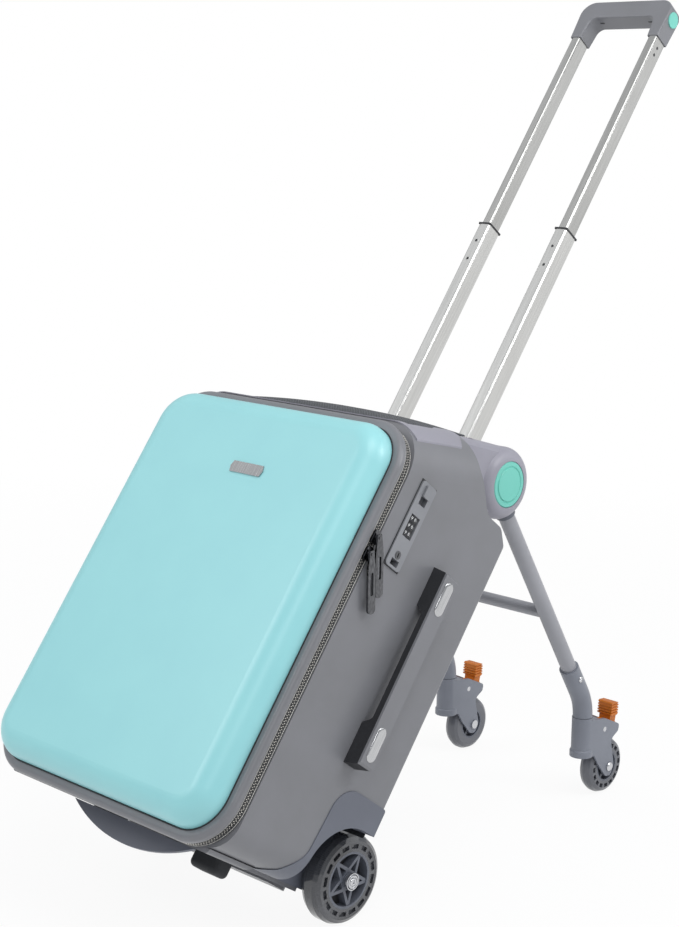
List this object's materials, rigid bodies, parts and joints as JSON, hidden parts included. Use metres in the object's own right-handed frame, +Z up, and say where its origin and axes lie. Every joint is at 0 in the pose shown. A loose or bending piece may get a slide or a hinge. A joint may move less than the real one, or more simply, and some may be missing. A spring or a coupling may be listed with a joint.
{
  "type": "ride-on suitcase",
  "caption": "Wheeled hard-shell suitcase that leans back on fold-out rear legs with casters, giving a padded seat, a footrest and a telescopic steering handle",
  "frame": {"origin": "On the floor, below the middle of the large wheels' axle.", "axes": "+Z up, the front panel faces -Y, +X is the side with the lock and the carrying handle."},
  "size_m": [0.3613, 0.8486, 0.9263],
  "materials": {
    "shell_gray": "fine-grained moulded shell",
    "panel_cyan": "smooth satin front shell",
    "slate_plastic": "moulded slate plastic",
    "lavender_plastic": "satin moulded plastic",
    "seat_cloth": "ribbed mesh cloth",
    "tube_aluminium": "brushed anodised tube",
    "leg_paint": "satin painted tube",
    "black_plastic": "moulded black plastic",
    "foot_rubber": "soft black rubber",
    "tyre_smoke": "smoky translucent tread",
    "hub_slate": "dark slate moulding",
    "bolt_chrome": "polished bolt",
    "teal_plastic": "soft teal plastic",
    "orange_plastic": "ridged orange plastic",
    "zip_cloth": "woven zip tape",
    "zip_metal": "gunmetal casting",
    "lock_gray": "lock face plastic",
    "nickel": "satin nickel"
  },
  "bodies": {
    "case": {"body_shell": "shell_gray", "base_tray": "shell_gray", "wheel_housing_right": "slate_plastic", "wheel_housing_left": "slate_plastic", "wheel_axle_right": "bolt_chrome", "wheel_axle_left": "bolt_chrome", "top_housing": "lavender_plastic", "pivot_pins": "bolt_chrome", "seat_trim": "lavender_plastic", "seat_pad": "seat_cloth", "guide_sleeves": "tube_aluminium", "trolley_cover": "shell_gray", "lock_plate": "lock_gray", "side_handle": "black_plastic", "handle_cover": "shell_gray", "handle_inlays": "nickel", "rubber_feet": "foot_rubber", "zip_tape_body": "zip_cloth"},
    "lid": {"lid_rim": "shell_gray", "front_panel": "panel_cyan", "zip_tape_lid": "zip_cloth", "badge_plate": "nickel"},
    "leg_frame": {"leg_tubes": "leg_paint", "leg_drums": "hub_slate", "crossbar": "leg_paint", "elbows": "hub_slate"},
    "handle_lower": {"lower_tubes": "tube_aluminium", "tube_collars": "black_plastic"},
    "handle_upper": {"upper_tubes": "tube_aluminium", "grip": "shell_gray", "grip_caps": "teal_plastic"},
    "grip_button": {"grip_button": "black_plastic"},
    "footrest": {"footrest": "slate_plastic"},
    "lock_release": {"lock_slider": "lock_gray"},
    "key": {"key_cylinder": "zip_metal"},
    "zip_upper": {"zip_slider_upper": "zip_metal"},
    "pull_upper": {"zip_pull_upper": "zip_metal"},
    "zip_lower": {"zip_slider_lower": "zip_metal"},
    "pull_lower": {"zip_pull_lower": "zip_metal"},
    "wheel_right": {"tyre_right": "tyre_smoke", "wheel_hub_right": "hub_slate"},
    "caster_right": {"caster_fork_right": "hub_slate", "caster_pins_right": "bolt_chrome"},
    "caster_wheel_right": {"caster_tyre_right": "tyre_smoke", "caster_hub_right": "hub_slate"},
    "brake_right": {"brake_lever_right": "orange_plastic"},
    "leg_button_right": {"leg_button_right": "teal_plastic"},
    "wheel_left": {"tyre_left": "tyre_smoke", "wheel_hub_left": "hub_slate"},
    "caster_left": {"caster_fork_left": "hub_slate", "caster_pins_left": "bolt_chrome"},
    "caster_wheel_left": {"caster_tyre_left": "tyre_smoke", "caster_hub_left": "hub_slate"},
    "brake_left": {"brake_lever_left": "orange_plastic"},
    "leg_button_left": {"leg_button_left": "teal_plastic"},
    "digit_1": {"digit_wheel_1": "black_plastic"},
    "digit_2": {"digit_wheel_2": "black_plastic"},
    "digit_3": {"digit_wheel_3": "black_plastic"}
  },
  "joints": [
    {"name": "lid_hinge", "type": "hinge", "parent": "case", "child": "lid", "pos_m": [-0.1694, -0.06981, 0.30337], "axis": [0, -0.5962, -0.8028], "range_deg": [0, 100]},
    {"name": "wheel_spin_right", "type": "hinge", "parent": "case", "child": "wheel_right", "pos_m": [0.133, 0, 0.046], "axis": [1, 0, 0], "continuous": true},
    {"name": "wheel_spin_left", "type": "hinge", "parent": "case", "child": "wheel_left", "pos_m": [-0.133, 0, 0.046], "axis": [1, 0, 0], "continuous": true},
    {"name": "leg_fold", "type": "hinge", "parent": "case", "child": "leg_frame", "pos_m": [0, 0.2551, 0.40711], "axis": [1, 0, 0], "range_deg": [-50, 0]},
    {"name": "caster_swivel_right", "type": "hinge", "parent": "leg_frame", "child": "caster_right", "pos_m": [0.1043, 0.437, 0.102], "axis": [0, 0, 1], "continuous": true},
    {"name": "caster_spin_right", "type": "hinge", "parent": "caster_right", "child": "caster_wheel_right", "pos_m": [0.1043, 0.477, 0.0332], "axis": [1, 0, 0], "continuous": true},
    {"name": "brake_press_right", "type": "hinge", "parent": "caster_right", "child": "brake_right", "pos_m": [0.1043, 0.466, 0.082], "axis": [-1, 0, 0], "range_deg": [0, 9]},
    {"name": "leg_button_press_right", "type": "slide", "parent": "case", "child": "leg_button_right", "axis": [-1, 0, 0], "range_m": [0, 0.003], "stiffness_N_per_m": 600},
    {"name": "caster_swivel_left", "type": "hinge", "parent": "leg_frame", "child": "caster_left", "pos_m": [-0.1043, 0.437, 0.102], "axis": [0, 0, 1], "continuous": true},
    {"name": "caster_spin_left", "type": "hinge", "parent": "caster_left", "child": "caster_wheel_left", "pos_m": [-0.1043, 0.477, 0.0332], "axis": [1, 0, 0], "continuous": true},
    {"name": "brake_press_left", "type": "hinge", "parent": "caster_left", "child": "brake_left", "pos_m": [-0.1043, 0.466, 0.082], "axis": [-1, 0, 0], "range_deg": [0, 9]},
    {"name": "leg_button_press_left", "type": "slide", "parent": "case", "child": "leg_button_left", "axis": [1, 0, 0], "range_m": [0, 0.003], "stiffness_N_per_m": 600},
    {"name": "handle_lower_slide", "type": "slide", "parent": "case", "child": "handle_lower", "axis": [0, 0.5962, 0.8028], "range_m": [-0.26, 0]},
    {"name": "handle_upper_slide", "type": "slide", "parent": "handle_lower", "child": "handle_upper", "axis": [0, 0.5962, 0.8028], "range_m": [-0.25, 0]},
    {"name": "grip_button_press", "type": "slide", "parent": "handle_upper", "child": "grip_button", "axis": [0, -0.5962, -0.8028], "range_m": [0, 0.004], "stiffness_N_per_m": 800},
    {"name": "footrest_fold", "type": "hinge", "parent": "case", "child": "footrest", "pos_m": [0, -0.15231, 0.10256], "axis": [1, 0, 0], "range_deg": [0, 85]},
    {"name": "digit_spin_1", "type": "hinge", "parent": "case", "child": "digit_1", "pos_m": [0.1664, 0.04576, 0.39442], "axis": [0, 0.5962, 0.8028], "continuous": true},
    {"name": "digit_spin_2", "type": "hinge", "parent": "case", "child": "digit_2", "pos_m": [0.1664, 0.05035, 0.4006], "axis": [0, 0.5962, 0.8028], "continuous": true},
    {"name": "digit_spin_3", "type": "hinge", "parent": "case", "child": "digit_3", "pos_m": [0.1664, 0.05494, 0.40678], "axis": [0, 0.5962, 0.8028], "continuous": true},
    {"name": "lock_release", "type": "slide", "parent": "case", "child": "lock_release", "axis": [0, -0.5962, -0.8028], "range_m": [0, 0.008], "stiffness_N_per_m": 100},
    {"name": "key_turn", "type": "hinge", "parent": "case", "child": "key", "pos_m": [0.17, 0.03205, 0.37595], "axis": [1, 0, 0], "range_deg": [0, 90]},
    {"name": "zip_run_upper", "type": "slide", "parent": "case", "child": "zip_upper", "axis": [0, 0.5962, 0.8028], "range_m": [0, 0.06]},
    {"name": "zip_swing_upper", "type": "hinge", "parent": "zip_upper", "child": "pull_upper", "pos_m": [0.176, 0.0009, 0.39859], "axis": [1, 0, 0], "range_deg": [0, 60]},
    {"name": "zip_run_lower", "type": "slide", "parent": "case", "child": "zip_lower", "axis": [0, -0.5962, -0.8028], "range_m": [0, 0.24]},
    {"name": "zip_swing_lower", "type": "hinge", "parent": "zip_lower", "child": "pull_lower", "pos_m": [0.176, -0.00948, 0.38462], "axis": [1, 0, 0], "range_deg": [-30, 0]}
  ]
}
